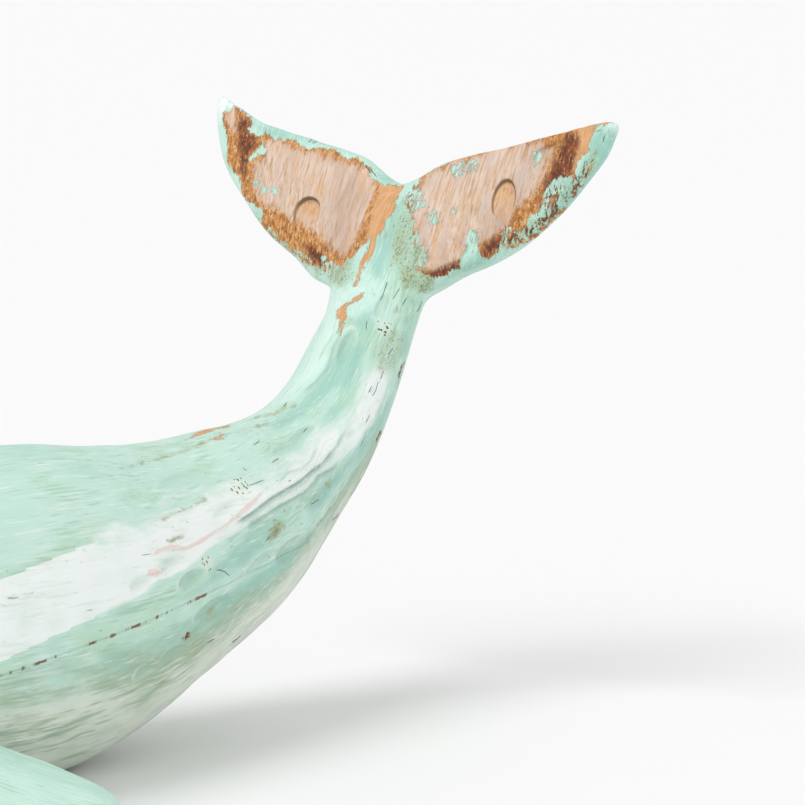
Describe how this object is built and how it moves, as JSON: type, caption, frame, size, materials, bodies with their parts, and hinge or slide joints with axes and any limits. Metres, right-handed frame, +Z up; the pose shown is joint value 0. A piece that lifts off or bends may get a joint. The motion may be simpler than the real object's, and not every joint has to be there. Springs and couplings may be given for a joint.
{
  "type": "carved whale figurine",
  "caption": "Carved and painted wooden whale figurine, resting on its flat belly with the tail stock and flukes raised behind it.",
  "frame": {"origin": "on the table, under the middle of the whale's bounding box", "axes": "+X from the snout towards the tail, +Y to the whale's left, +Z up"},
  "size_m": [0.6508, 0.3232, 0.3485],
  "materials": {
    "painted_wood": "carved hardwood under thin mint green chalk paint, rubbed through to brown and pale wood",
    "bare_wood": "turned beech dowel, unfinished",
    "eye_bead": "black bead, polished",
    "felt": "brown wool felt"
  },
  "bodies": {
    "root": {"trunk_upper": "painted_wood", "trunk_lower": "painted_wood", "tail_stock": "painted_wood", "fluke_left": "painted_wood", "fluke_right": "painted_wood", "flipper_left": "painted_wood", "flipper_right": "painted_wood", "eye_left": "eye_bead", "eye_right": "eye_bead", "trunk_dowels": "bare_wood", "stock_dowels": "bare_wood", "fluke_dowels_left": "bare_wood", "fluke_dowels_right": "bare_wood", "flipper_dowel_left": "bare_wood", "flipper_dowel_right": "bare_wood", "felt_pads": "felt"}
  },
  "joints": []
}
